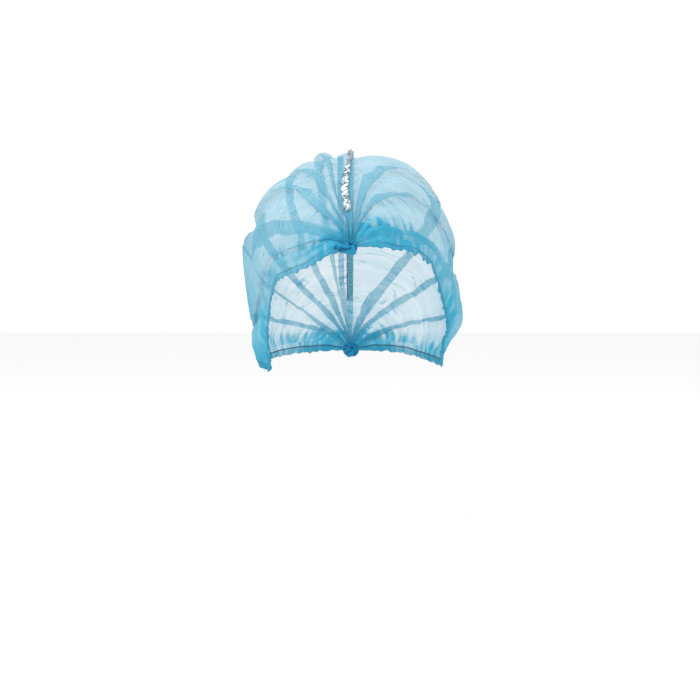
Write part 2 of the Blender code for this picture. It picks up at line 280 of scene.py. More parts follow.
rightPleats = (
    (
        "arch", 1, 0.2, 0.0105, 1.0,
        (0.14, 0.22, 0.19, 0.22, 0.28, 0.34, 0.36, 0.34, 0.28),
        (0, 0.3, 0.5, 0.8, 1.1, 1.4, 1.3, 0.8, 0),
    ),
    (
        "swag", 1, 0.7, 0.0070, 1.0,
        (0.28, 0.34, 0.36, 0.48, 0.59, 0.60, 0.58, 0.55, 0.48),
        (0, 0.3, 0.5, 0.8, 0.7, 0.6, 0.6, 0.6, 0),
    ),
    (
        "side", -1, 0.8, 0.0065, 0.3,
        (0.54, 0.67, 0.84, 0.90, 0.88, 0.80, 0.77, 0.76, 0.70),
        (0, 0.3, 0.4, 0.6, 0.7, 0.8, 0.8, 0.7, 0),
    ),
)

# Length along the sheet, length across it, height at the crown and at the edge band.
creases = {
    "fine": (0.0085, 0.045, 0.00010, 0.00060),
    "broad": (0.0200, 0.070, 0.00090, 0.00120),
    "dents": (0.0420, 0.048, 0.00220, 0.00180),
    "crumples": (0.0095, 0.011, 0.00012, 0.00100),
}
sharpCreases = ("fine", "broad")
creaseReach = 0.022  # how far up from the edge band the gathers fade
knotRays = {"perTurn": 6.5, "perAngle": 2.0, "height": 0.0019, "reach": 19.0, "clear": 7, "least": 0.1}
# Beside the ears the cloth is bunched more, and creased more.
flank = {
    "turns": (0.54, 1.44),
    "creaseFront": (45, 70),
    "creaseRear": (150, 110),
    "crease": 0.8,
    "gatherFront": (42, 72),
    "gatherRear": (150, 120),
    "gather": 0.42,
}


def knotAngle(radius):
    return math.asin(radius / (0.95 * halfSpan))


def sheetAngles(count):
    first = knotAngle(cloth["gatherHole"])
    last = math.pi - knotAngle(cloth["gatherHole"])
    share = np.linspace(0, 1, count)
    crowding = cloth["rowCrowding"]
    return first + (last - first) * ((1 - crowding) * share + crowding * share**2)


def fullness(angle):
    rise = np.clip(np.degrees(angle) / cloth["frontGather"], 0, 1)
    fall = np.clip((180 - np.degrees(angle)) / cloth["rearGather"], 0, 1)
    return rise * (2 - rise) * fall * (2 - fall)


def hemTurn(angle, rim):
    return np.minimum(turnFor(hem["width"], angle), hem["turnShare"] * rim)


def addGore(lines, turn, lift, raisedTo, billow):
    # Cloth between two pleats. Beside a pleat it is raised to lie on the two layers below.
    startTurn, startLift, raisedFrom = lines[-1]
    width = float(np.max((turn - startTurn) * halfSpan * np.sin(rows)))
    count = max(6, math.ceil(width / cloth["goreSpacing"]))
    for step in range(1, count):
        t = step / count
        rise = 1 - (1 - t) ** 2
        change = ramp(t, 0, cloth["raiseShare"]) if raisedTo else ramp(t, 1 - cloth["lowerShare"], 1)
        raised = raisedFrom + (raisedTo - raisedFrom) * change
        height = startLift + (lift - startLift) * rise + billow * 4 * t * (1 - t)
        lines.append((startTurn + (turn - startTurn) * t, height, raised))
    lines.append((turn, lift, raisedTo))


def foldLines(crestTurn, crest, overlap, foot, steep):
    # The cloth from a crest back to the valley under it and out again to the foot, or the other way round.
    # Each line is a turn, a lift, and the height above the lowest of the three layers as a share of it.
    roundTurn = turnFor(cloth["foldRound"], rows) * fullness(rows)
    valley = crest * cloth["valleyLift"]
    lines = [(crestTurn + steep * roundTurn, crest, 0.75)]
    for t in (0.05, 0.3, 0.6, 0.95):
        lines.append((crestTurn - steep * overlap * t, crest * (1 - t) + valley * t, 0.5))
    lines.append((crestTurn - steep * (overlap + roundTurn), valley, 0.25))
    for t in (0.95, 0.65, 0.35, 0.05):
        lines.append((crestTurn - steep * overlap * t, valley * t, 0.0))
    lines.append((foot, 0 * rows, 0.0))
    return lines


def crownTurn(angle, side):
    rim = rimTurn(angle, side)
    return rim - hemTurn(angle, rim)


def pleatTurn(pleat, angle, edge):
    return curveThrough(stations, pleat["place"], np.degrees(angle)) * edge


def pleatsOf(side):
    return [dict(zip(pleatColumns, row)) for row in (leftPleats if side < 0 else rightPleats)]


def centreTurn(angle, side):
    width = cloth["centreLeft"] if side < 0 else cloth["centreRight"]
    most = cloth["centreShare"] * pleatTurn(pleatsOf(side)[0], angle, crownTurn(angle, side))
    return np.minimum(turnFor(width, angle), most * width / cloth["centreLeft"])


def centreLift(angle, turn):
    # The centre pleat leans: low at its left edge, and its crest is on the right.
    low = -centreTurn(angle, -1)
    high = centreTurn(angle, 1)
    if turn.ndim > 1:
        low, high, angle = low[:, None], high[:, None], angle[:, None]
    share = cloth["centreLow"] + (1 - cloth["centreLow"]) * (turn - low) / (high - low)
    return cloth["centreHeight"] * fullness(angle) * share


def halfSheet(side):
    rim = rimTurn(rows, side)
    edge = rim - hemTurn(rows, rim)
    full = fullness(rows)
    step = np.minimum(turnFor(cloth["pleatStep"], rows), cloth["stepShare"] * edge)
    pleats = pleatsOf(side)
    centre = centreTurn(rows, side)
    room = pleatTurn(pleats[0], rows, edge) - centre
    lines = [(centre * t, centreLift(rows, side * centre * t), 1.0) for t in (0, 0.33, 0.67, 1)]
    tuck = np.minimum(turnFor(cloth["tuck"], rows), cloth["tuckShare"] * centreTurn(rows, -1))
    lines += foldLines(centre, lines[-1][1], tuck, centre + np.minimum(step, room / 2), 1)
    degrees = np.degrees(rows)
    rearward = 1 - (1 - cloth["rearOverlap"]) * ramp(degrees, *cloth["rearNarrowing"])
    for number, pleat in enumerate(pleats):
        wander = noiseAt(runs / cloth["crestWanderLength"], 0 * runs, 7.3 * number + side)
        crestTurn = pleatTurn(pleat, rows, edge)
        crestTurn = crestTurn + turnFor(cloth["crestWander"], rows) * full * wander
        crest = curveThrough(stations, pleat["crest"], degrees) * cloth["pleatHeight"]
        uneven = 1
        for length, depth, seed in cloth["overlapWander"]:
            uneven = uneven + depth * noiseAt(runs / length, 0 * runs, seed * number + side)
        forwards = pleat["frontShare"] + (1 - pleat["frontShare"]) * ramp(degrees, *cloth["frontWidening"])
        overlap = turnFor(pleat["overlap"], rows) * rearward * forwards * uneven
        billow = pleat["billow"] * cloth["goreBillow"] * full
        if pleat["steep"] > 0:
            overlap = np.minimum(overlap, cloth["overlapShare"] * (crestTurn - lines[-1][0]))
            addGore(lines, crestTurn, crest, 1.0, billow)
            lines += foldLines(crestTurn, crest, overlap, crestTurn + step, 1)
        else:
            after = pleatTurn(pleats[number + 1], rows, edge) if number + 1 < len(pleats) else edge
            overlap = np.minimum(overlap, cloth["overlapShare"] * (after - crestTurn))
            fold = foldLines(crestTurn, crest, overlap, crestTurn - step, -1)
            addGore(lines, *fold[-1], billow)
            lines += fold[-2::-1]
            lines.append((crestTurn, crest, 1.0))
    addGore(lines, edge, cloth["standOff"] + 0 * rows, 0.0, cloth["edgeBillow"] * cloth["goreBillow"] * full)
    turns = np.stack([line[0] for line in lines], -1)
    lifts = np.stack([line[1] + 2 * cloth["layerGap"] * line[2] for line in lines], -1)
    return turns, lifts, rim


def flankShare(degrees, turn, name):
    ends = ramp(degrees, *flank[name + "Front"]) * ramp(degrees, *flank[name + "Rear"])
    return flank[name] * ends * ramp(np.abs(turn), *flank["turns"])


def relief(angle, turn, fromBand):
    # The same at every layer of a fold, so layers move together and never cross.
    along = np.interp(angle, rows, runs)
    across = turn * halfSpan
    near = np.exp(-np.maximum(fromBand, 0) / creaseReach)
    total = 0 * along
    for number, (name, (length, reach, top, low)) in enumerate(creases.items()):
        wave = noiseAt(along / length, across / reach, 11.7 * number)
        if name in sharpCreases:
            wave = 0.45 - 2 * np.abs(wave)
        total = total + wave * (top + (low - top) * near)
    degrees = np.degrees(angle)
    total = total * np.clip(fullness(angle) * 1.2, 0, 1) * (1 + flankShare(degrees, turn, "crease"))
    ends = np.minimum(degrees, 180 - degrees)
    rays = noiseAt(turn * knotRays["perTurn"], angle * knotRays["perAngle"], 51.0)
    rays = rays * np.exp(-((ends / knotRays["reach"]) ** 2))
    rays = rays * np.clip(ends / knotRays["clear"], knotRays["least"], 1)
    return total + knotRays["height"] * rays


# How densely the cloth is bunched beside the edge band, and how far up from it, in metres.
bunchColumns = ("angle", "left", "right", "leftReach", "rightReach")
bunchTable = (
    (0, 0.90, 0.95, 0.002, 0.005),
    (12, 0.60, 0.95, 0.003, 0.006),
    (25, 0.50, 0.80, 0.006, 0.007),
    (42, 0.50, 0.62, 0.008, 0.004),
    (60, 0.55, 0.55, 0.004, 0.004),
    (110, 0.50, 0.50, 0.004, 0.004),
    (150, 0.60, 0.60, 0.004, 0.004),
    (180, 0.90, 0.90, 0.004, 0.004),
)
tufts = {"length": 0.0036, "reach": 0.009, "depth": 0.9, "fade": 0.005}
knotBunch = {
    "amount": 1.2,
    "reach": 13.0,
    "power": 1.5,
    "perTurn": 7.0,
    "perAngle": 1.5,
    "plain": 0.85,
    "rays": 0.8,
}


def gatherAt(angle, turn, fromBand):
    # From 0 in an open panel to 1 at a knot.
    degrees = np.degrees(angle)
    ends = np.minimum(degrees, 180 - degrees)
    rays = noiseAt(turn * knotBunch["perTurn"], angle * knotBunch["perAngle"], 61.0)
    knot = knotBunch["amount"] * np.exp(-((ends / knotBunch["reach"]) ** knotBunch["power"]))
    knot = knot * (knotBunch["plain"] + knotBunch["rays"] * rays)
    angles = column(bunchTable, bunchColumns, "angle")

    def bunched(*names):
        sides = [curveThrough(angles, column(bunchTable, bunchColumns, name), degrees) for name in names]
        return np.where(turn < 0, *sides)

    along = np.interp(angle, rows, runs)
    tuft = noiseAt(along / tufts["length"], turn * 3.0, 71.0)
    reach = bunched("leftReach", "rightReach") + tufts["reach"] * tuft
    band = bunched("left", "right") * (1 + tufts["depth"] * tuft)
    band = band * np.exp(-np.maximum(fromBand - reach, 0) / tufts["fade"])
    return np.clip(knot + band + flankShare(degrees, turn, "gather"), 0, 1)


def clothMesh(name, grid, uv, gather, flip=False):
    rowCount, columnCount = grid.shape[:2]
    corner = np.arange(rowCount * columnCount).reshape(rowCount, columnCount)
    faces = np.stack((corner[:-1, :-1], corner[:-1, 1:], corner[1:, 1:], corner[1:, :-1]), -1).reshape(-1, 4)
    if flip:
        faces = faces[:, ::-1]
    mesh = bpy.data.meshes.new(name)
    mesh.from_pydata(grid.reshape(-1, 3).tolist(), [], faces.tolist())
    layer = mesh.uv_layers.new(name="clothRun")
    loopVerts = np.empty(len(mesh.loops), np.int32)
    mesh.loops.foreach_get("vertex_index", loopVerts)
    layer.data.foreach_set("uv", uv.reshape(-1, 2)[loopVerts].ravel())
    dense = mesh.attributes.new("gather", "FLOAT", "POINT")
    dense.data.foreach_set("value", gather.ravel().astype(np.float32))
    mesh.shade_smooth()
    piece = bpy.data.objects.new(name, mesh)
    bpy.context.scene.collection.objects.link(piece)
    return piece


rows = sheetAngles(cloth["rows"])
runs = runAlong(place(rows, 0 * rows, 0.0))


def makeCloth():
    leftTurns, leftLifts, leftRim = halfSheet(-1)
    rightTurns, rightLifts, rightRim = halfSheet(1)
    turns = np.concatenate((-leftTurns[:, :0:-1], rightTurns), 1)
    lifts = np.concatenate((leftLifts[:, :0:-1], rightLifts), 1)
    rim = np.where(turns < 0, leftRim[:, None], rightRim[:, None])
    fromRim = (rim - np.abs(turns)) * halfSpan * np.sin(rows)[:, None]
    fromBand = fromRim - hem["width"]
    angles = np.broadcast_to(rows[:, None], turns.shape)
    grid = place(angles, turns, lifts + relief(angles, turns, fromBand))
    middleRow = len(rows) // 2
    across = runAlong(grid[middleRow])
    across = across - across[leftTurns.shape[1] - 1]
    uv = np.stack(np.broadcast_arrays(runs[:, None], across[None, :]), -1)
    crown = clothMesh("crownCloth", grid, uv, gatherAt(angles, turns, fromBand))
    print(f"cloth: {grid.shape[0]} rows of {grid.shape[1]}, {2 * len(crown.data.polygons)} triangles")
    bands = [
        makeBand("leftBand", -1, grid[:, 0], across[0]),
        makeBand("rightBand", 1, grid[:, -1], across[-1]),
    ]
    return crown, bands


def makeBand(name, side, seam, acrossStart):
    count = hem["rowsPerClothRow"] * (len(rows) - 1) + 1
    steps = np.arange(count) / hem["rowsPerClothRow"]
    angle = np.interp(steps, np.arange(len(rows)), rows)
    seam = np.stack([np.interp(steps, np.arange(len(rows)), seam[:, axis]) for axis in range(3)], -1)
    rim = rimTurn(angle, side)
    width = hemTurn(angle, rim)
    along = np.interp(angle, rows, runs)
    calmer = 1 - (1 - hem["flankRuffle"]) * ramp(np.degrees(angle), *hem["flankFrom"])
    full = np.clip(fullness(angle) * 1.3, 0.15, 1) * calmer
    wave = noiseAt(along / hem["ruffleLength"], 0 * along, 20.0 + side) * 1.6
    sway = noiseAt(along / (1.3 * hem["ruffleLength"]), 0 * along, 40.0 + side) * 1.6
    columns = [seam]
    shares = [0.0]

    def addColumn(share, drop):
        past = np.clip((share - hem["elasticShare"]) / (1 - hem["elasticShare"]), 0, 1)
        turn = rim + width * (share - 1 + hem["ruffleSway"] * past**1.5 * sway * full)
        near = 1 - abs(share - hem["elasticShare"]) / 0.12
        pinch = hem["pinch"] * max(near, 0)
        ruffle = hem["ruffleHeight"] * past**1.2 * (0.55 + wave) * full
        lift = cloth["standOff"] - pinch + ruffle - drop
        field = relief(angle, side * turn, 0 * angle)
        columns.append(place(angle, side * turn, lift + field * (1 - 0.6 * past)))

    for share in hem["shares"][1:]:
        addColumn(share, 0.0)
        shares.append(share)
    for share in hem["foldedBack"]:
        addColumn(share, hem["foldGap"])
        shares.append(2 - share)
    grid = np.stack(columns, 1)
    across = acrossStart + side * np.array(shares) * hem["width"]
    uv = np.stack(np.broadcast_arrays(along[:, None], across[None, :]), -1)
    gather = gatherAt(*np.broadcast_arrays(angle[:, None], side * rim[:, None], np.zeros(grid.shape[:2])))
    band = clothMesh(name, grid, uv, gather, flip=side < 0)
    print(f"{name}: {2 * len(band.data.polygons)} triangles")
    return band


crownCloth, (leftBand, rightBand) = makeCloth()


# The elastic thread in each band.

thread = {"diameter": 0.0010, "sides": 8, "sunk": 0.0005, "follow": 0.9}


def tubeMesh(name, path, radius, sides):
    tangent = np.gradient(path, axis=0)
    tangent /= np.linalg.norm(tangent, axis=1)[:, None]
    out = path - hub
    out -= (out * tangent).sum(1)[:, None] * tangent
    out /= np.linalg.norm(out, axis=1)[:, None]
    other = np.cross(tangent, out)
    around = np.linspace(0, 2 * math.pi, sides, endpoint=False)
    ring = np.cos(around)[None, :, None] * out[:, None] + np.sin(around)[None, :, None] * other[:, None]
    points = path[:, None] + radius * ring
    count = len(path)
    verts = points.reshape(-1, 3).tolist()
    faces = []
    for i in range(count - 1):
        for j in range(sides):
            k = (j + 1) % sides
            faces.append((i * sides + j, i * sides + k, (i + 1) * sides + k, (i + 1) * sides + j))
    faces.append(tuple(reversed(range(sides))))
    faces.append(tuple(range((count - 1) * sides, count * sides)))
    mesh = bpy.data.meshes.new(name)
    mesh.from_pydata(verts, [], faces)
    mesh.shade_smooth()
    piece = bpy.data.objects.new(name, mesh)
    bpy.context.scene.collection.objects.link(piece)
    return piece


def makeThread(name, side):
    angle = rows[4:-4]
    rim = rimTurn(angle, side)
    turn = side * (rim - (1 - hem["elasticShare"]) * hemTurn(angle, rim))
    follow = thread["follow"] * relief(angle, turn, 0 * angle)
    lift = cloth["standOff"] - hem["pinch"] - thread["sunk"] + follow
    return tubeMesh(name, place(angle, turn, lift), thread["diameter"] / 2, thread["sides"])


leftThread = makeThread("leftThread", -1)
rightThread = makeThread("rightThread", 1)
print("threads made")


# The foil strip on the centre pleat.

foil = {
    "width": 0.0046,
    "crownShare": 0.5,  # of its width that is left where the pleat closes over it at the crown
    "offsetFront": 0.0038,
    "offsetCrown": 0.0007,
    "drifts": (26, 50),
    "closes": (30, 48),
    "opens": (115, 80),
    "share": 0.42,
    "wall": 0.00025,
    "start": 0.0235,
    "end": 0.040,
    "rows": 520,
    "columns": 9,
    "creaseLength": 0.0036,
    "creaseHeight": 0.0009,
    "clear": 0.0007,
}


def makeFoil():
    run = np.linspace(foil["start"], runs[-1] - foil["end"], foil["rows"])
    angle = np.interp(run, runs, rows)
    across = np.linspace(-1, 1, foil["columns"])
    slope = centreTurn(angle, -1)
    degrees = np.degrees(angle)
    drift = ramp(degrees, *foil["drifts"])
    offset = foil["offsetFront"] + (foil["offsetCrown"] - foil["offsetFront"]) * drift
    closing = 1 - (1 - foil["crownShare"]) * ramp(degrees, *foil["closes"]) * ramp(degrees, *foil["opens"])
    half = np.minimum(turnFor(foil["width"] / 2, angle), foil["share"] * slope) * closing
    middle = -np.minimum(turnFor(offset, angle), slope / 2)
    edgeNoise = 1 + 0.10 * noiseAt(run / 0.004, 0 * run, 5.0)
    sway = 0.12 * noiseAt(run / 0.02, 0 * run, 9.0)
    turns = middle[:, None] + half[:, None] * (across[None, :] * edgeNoise[:, None] + sway[:, None])
    shear = run[:, None] + 0.0012 * across[None, :] * noiseAt(run / 0.01, 0 * run, 2.0)[:, None]
    sharp = 1 - np.abs(2 * noiseAt(shear / foil["creaseLength"], across[None, :] * 0.35, 13.0))
    broken = noiseAt(shear / (0.45 * foil["creaseLength"]), across[None, :] * 1.6, 17.0)
    seat = centreLift(angle, turns) + 2 * cloth["layerGap"] + foil["clear"]
    lifts = seat + foil["creaseHeight"] * (sharp - 0.4) + 0.3 * foil["creaseHeight"] * broken
    angles = np.broadcast_to(angle[:, None], turns.shape)
    lifts = lifts + relief(angles, turns, 0.1 + 0 * turns)
    grid = place(angles, turns, lifts)
    uv = np.stack(np.broadcast_arrays(run[:, None], across[None, :] * foil["width"] / 2), -1)
    # On the foil the gather attribute holds painted shade: high in the crease valleys, low on the ridges.
    strip = clothMesh("foilStrip", grid, uv, np.clip(0.74 - 0.9 * sharp - 0.6 * broken, 0, 1))
    wall = strip.modifiers.new("wall", "SOLIDIFY")
    wall.thickness = foil["wall"]
    wall.offset = 1
    bpy.ops.object.select_all(action="DESELECT")
    strip.select_set(True)
    bpy.context.view_layer.objects.active = strip
    bpy.ops.object.modifier_apply(modifier="wall")
    strip.data.set_sharp_from_angle(angle=math.radians(25))
    return strip


foilStrip = makeFoil()
print("foil strip made")


# The gathered and welded ends.

frontEnd = {
    "name": "frontGather",
    "reach": (0.0046, 0.0125),  # right and left of the core
    "rise": (0.0045, 0.0046),  # above and below it
    "taper": 0.42,
    "height": 0.0052,
    "inside": 0.0046,
    "folds": 5,
    "foldDepth": 0.0012,
    "core": (-0.0004, 0.0008),
    "pit": 0.35,
    "seed": 3.0,
}
rearEnd = {
    "name": "rearGather",
    "reach": (0.0070, 0.0074),
    "rise": (0.0062, 0.0058),
    "taper": 0.0,
    "height": 0.0056,
    "inside": 0.0022,
    "folds": 8,
    "foldDepth": 0.0013,
    "core": (0.0005, 0.0004),
    "pit": 0.45,
    "seed": 8.0,
}
swirls = {"wobble": 0.22, "wobbles": 1.7, "perMetre": 420, "sway": 3.2, "swaySize": 0.006, "pitSize": 0.0015}


def makeGather(sizes, at, outward):
    rings, spokes = 60, 160
    share = np.linspace(0, 2, rings)[:, None]  # 0 outer pole, 1 the brim, 2 inner pole
    around = np.linspace(0, 2 * math.pi, spokes, endpoint=False)[None, :]
    spread = np.sin(share * math.pi / 2)
    left = np.clip(-np.cos(around), 0, 1)
    reach = sizes["reach"][0] + (sizes["reach"][1] - sizes["reach"][0]) * smooth((1 - np.cos(around)) / 2)
    rise = np.where(np.sin(around) > 0, sizes["rise"][0], sizes["rise"][1])
    wobble = noiseAt(np.cos(around) * swirls["wobbles"], np.sin(around) * swirls["wobbles"], sizes["seed"])
    wobble = 1 + swirls["wobble"] * wobble
    x = spread * np.cos(around) * reach * wobble
    y = spread * np.sin(around) * rise * (1 - sizes["taper"] * left**1.5) * wobble
    fromCore = np.hypot(x - sizes["core"][0], y - sizes["core"][1])
    towards = np.arctan2(y - sizes["core"][1], x - sizes["core"][0])
    sway = swirls["sway"] * noiseAt(x / swirls["swaySize"], y / swirls["swaySize"], sizes["seed"] + 1)
    swirl = sizes["folds"] / 2 * towards + swirls["perMetre"] * fromCore + sway
    fold = np.abs(np.sin(swirl)) ** 0.6
    pit = np.exp(-((fromCore / swirls["pitSize"]) ** 2))
    depth = sizes["foldDepth"] * (1 - fold) * np.clip(spread * 1.3, 0, 1)
    dome = np.cos(share * math.pi / 2)
    outer = np.abs(dome) ** 0.7 * sizes["height"] - depth - sizes["pit"] * sizes["height"] * pit
    inner = -(np.abs(dome) ** 0.7) * sizes["inside"] + 0.5 * depth * np.abs(dome) ** 0.5
    z = np.where(share < 1, outer, inner)
    points = at + x[..., None] * sideways + y[..., None] * upward + z[..., None] * outward
    grid = points[1:-1]
    count = grid.shape[0] * spokes
    corner = np.arange(count).reshape(grid.shape[0], spokes)
    after = np.roll(corner, -1, 1)
    faces = np.stack((corner[:-1], corner[1:], after[1:], after[:-1]), -1).reshape(-1, 4).tolist()
    verts = grid.reshape(-1, 3).tolist() + [points[0, 0].tolist(), points[-1, 0].tolist()]
    for j in range(spokes):
        k = (j + 1) % spokes
        faces.append((count, int(corner[0, j]), int(corner[0, k])))
        faces.append((count + 1, int(corner[-1, k]), int(corner[-1, j])))
    mesh = bpy.data.meshes.new(sizes["name"])
    mesh.from_pydata(verts, [], faces)
    # The crease attribute is painted shade: dark in the fold valleys and in the pit at the core.
    crease = (1 - fold) * np.clip(spread * 2, 0, 1) + 0.8 * pit
    crease = np.append(crease[1:-1].ravel(), (0.8, 0.5))
    mesh.attributes.new("crease", "FLOAT", "POINT").data.foreach_set("value", crease.astype(np.float32))
    piece = bpy.data.objects.new(sizes["name"], mesh)
    bpy.context.scene.collection.objects.link(piece)
    bpy.ops.object.select_all(action="DESELECT")
    piece.select_set(True)
    bpy.context.view_layer.objects.active = piece
    bpy.ops.object.mode_set(mode="EDIT")
    bpy.ops.mesh.select_all(action="SELECT")
    bpy.ops.mesh.normals_make_consistent(inside=False)
    bpy.ops.object.mode_set(mode="OBJECT")
    mesh.shade_smooth()
    return piece


frontGather = makeGather(frontEnd, frontKnotPoint + 0.0018 * forward - 0.0006 * upward, forward)
rearGather = makeGather(rearEnd, rearKnotPoint - 0.0010 * forward, -forward)
print("gathered ends made")


def linear(code):
    parts = [int(code[i : i + 2], 16) / 255 for i in (1, 3, 5)]
    return [p / 12.92 if p <= 0.04045 else ((p + 0.055) / 1.055) ** 2.4 for p in parts] + [1.0]


def addNode(tree, kind, settings=None, links=None):
    node = tree.nodes.new(kind)
    for key, value in (settings or {}).items():
        if isinstance(key, str) and hasattr(node, key):
            setattr(node, key, value)
        else:
            node.inputs[key].default_value = value
    for key, source in (links or {}).items():
        tree.links.new(source, node.inputs[key])
    return node


def newMaterial(name):
    made = bpy.data.materials.new(name)
    made.use_nodes = True
    made.node_tree.nodes.clear()
    return made, made.node_tree


# Polypropylene spunbond, 20 g/m2: fine blue filaments laid at random and bonded by small points, so that
# light goes through between them. Denser where it is gathered.
spunbond = {
    "thinColour": "#7CBBCE",
    "denseColour": "#3FA8C6",
    "roughness": 0.62,
    "ior": 1.49,
    "cover": 0.42,
    "gatheredCover": 0.55,
    "streakCover": 0.22,
    "lineCover": 0.36,
    "fibreCover": 0.12,
    "streakWidth": 0.0075,
    "streakRun": 0.144,
    "lineWidth": 0.0060,
    "lineRun": 0.090,
    "lineEdge": 0.030,
    "lineSeen": (0.42, 0.60),
    "lineTone": 0.25,
    "fadeWidth": 0.018,
    "fadeRun": 0.030,
    "fibreSize": 0.0013,
    "through": 0.38,
}


def clothNoise(tree, uv, width, run, detail):
    # Noise that is drawn out across the pleats, as the creases of gathered cloth are.
    sizes = {"Scale": (1 / width, 1 / run, 1)}
    stretched = addNode(tree, "ShaderNodeMapping", sizes, {"Vector": uv.outputs["UV"]})
    settings = {"Scale": 1.0, "Detail": detail, "Roughness": 0.55}
    return addNode(tree, "ShaderNodeTexNoise", settings, {"Vector": stretched.outputs[0]}).outputs[0]


def addMath(tree, operation, *values, clamp=False):
    fixed = {i: value for i, value in enumerate(values) if isinstance(value, (int, float))}
    linked = {i: value for i, value in enumerate(values) if not isinstance(value, (int, float))}
    settings = {"operation": operation, "use_clamp": clamp, **fixed}
    return addNode(tree, "ShaderNodeMath", settings, linked).outputs[0]


def spunbondMaterial():
    made, tree = newMaterial("polypropyleneSpunbond")
    uv = addNode(tree, "ShaderNodeUVMap", {"uv_map": "clothRun"})
    gather = addNode(tree, "ShaderNodeAttribute", {"attribute_name": "gather"}).outputs["Fac"]
    streak = clothNoise(tree, uv, spunbond["streakWidth"], spunbond["streakRun"], 2.0)
    lineNoise = clothNoise(tree, uv, spunbond["lineWidth"], spunbond["lineRun"], 1.0)
    fade = clothNoise(tree, uv, spunbond["fadeWidth"], spunbond["fadeRun"], 1.0)
    fibres = addNode(
        tree,
        "ShaderNodeTexNoise",
        {"Scale": 1 / spunbond["fibreSize"], "Detail": 4.0, "Roughness": 0.65},
        {"Vector": uv.outputs["UV"]},
    ).outputs[0]
    folded = addMath(tree, "ABSOLUTE", addMath(tree, "SUBTRACT", lineNoise, 0.5))
    lines = addNode(
        tree,
        "ShaderNodeMapRange",
        {"interpolation_type": "SMOOTHSTEP", "From Max": spunbond["lineEdge"], "To Min": 1.0, "To Max": 0.0},
        {"Value": folded},
    ).outputs[0]
    seenFrom, seenTo = spunbond["lineSeen"]
    seen = addNode(
        tree,
        "ShaderNodeMapRange",
        {"interpolation_type": "SMOOTHSTEP", "From Min": seenFrom, "From Max": seenTo},
        {"Value": fade},
    ).outputs[0]
    crease = addMath(tree, "MULTIPLY", lines, seen)
    uneven = addMath(tree, "SUBTRACT", streak, 0.5)
    cover = addMath(tree, "MULTIPLY_ADD", uneven, 2 * spunbond["streakCover"], spunbond["cover"])
    cover = addMath(tree, "MULTIPLY_ADD", gather, spunbond["gatheredCover"], cover)
    cover = addMath(tree, "MULTIPLY_ADD", crease, spunbond["lineCover"], cover)
    speckle = addMath(tree, "SUBTRACT", fibres, 0.5)
    cover = addMath(tree, "MULTIPLY_ADD", speckle, spunbond["fibreCover"], cover, clamp=True)
    tone = addNode(
        tree,
        "ShaderNodeMix",
        {"data_type": "RGBA", 6: linear(spunbond["thinColour"]), 7: linear(spunbond["denseColour"])},
        {0: addMath(tree, "MULTIPLY_ADD", crease, spunbond["lineTone"], gather, clamp=True)},
    ).outputs[2]
    ridges = {"Strength": 0.3, "Distance": 0.0006}
    bump = addNode(tree, "ShaderNodeBump", ridges, {"Height": streak}).outputs[0]
    front = addNode(
        tree,
        "ShaderNodeBsdfPrincipled",
        {"Roughness": spunbond["roughness"], "IOR": spunbond["ior"], "Specular IOR Level": 0.15},
        {"Base Color": tone, "Normal": bump},
    ).outputs[0]
    through = addNode(tree, "ShaderNodeBsdfTranslucent", {}, {"Color": tone, "Normal": bump}).outputs[0]
    lit = addNode(tree, "ShaderNodeMixShader", {0: spunbond["through"]}, {1: front, 2: through}).outputs[0]
    clear = addNode(tree, "ShaderNodeBsdfTransparent").outputs[0]
    mixed = addNode(tree, "ShaderNodeMixShader", {}, {0: cover, 1: clear, 2: lit}).outputs[0]
    addNode(tree, "ShaderNodeOutputMaterial", {}, {"Surface": mixed})
    return made


def weldedMaterial():
    # The same filaments pressed and welded into a dense lump, with painted shade: dark blue in its creases
    # and its pit, paler on its folds.
    made, tree = newMaterial("weldedSpunbond")
    place3d = addNode(tree, "ShaderNodeTexCoord")
    grain = {"Scale": 1 / 0.0016, "Detail": 5.0}
    fibres = addNode(tree, "ShaderNodeTexNoise", grain, {"Vector": place3d.outputs["Object"]}).outputs[0]
    crease = addNode(tree, "ShaderNodeAttribute", {"attribute_name": "crease"}).outputs["Fac"]
    # Painted shade from the crease attribute, with random grain added.
    grainAndPaintedCreaseShade = addMath(tree, "MULTIPLY_ADD", addMath(tree, "SUBTRACT", fibres, 0.25), 0.7, crease, clamp=True)
    blues = {"data_type": "RGBA", 6: linear("#1A8AB4"), 7: linear("#033D62")}
    tone = addNode(tree, "ShaderNodeMix", blues, {0: grainAndPaintedCreaseShade}).outputs[2]
    dents = {"Strength": 0.4, "Distance": 0.0004}
    bump = addNode(tree, "ShaderNodeBump", dents, {"Height": fibres}).outputs[0]
    dull = {"Roughness": 0.7, "IOR": 1.49, "Specular IOR Level": 0.2}
    lump = addNode(tree, "ShaderNodeBsdfPrincipled", dull, {"Base Color": tone, "Normal": bump})
    addNode(tree, "ShaderNodeOutputMaterial", {}, {"Surface": lump.outputs[0]})
    return made


foilFinish = {"facetRun": 0.0021, "facetWidth": 0.0013, "tilt": 0.9, "depth": 0.0004, "roughness": 0.32}


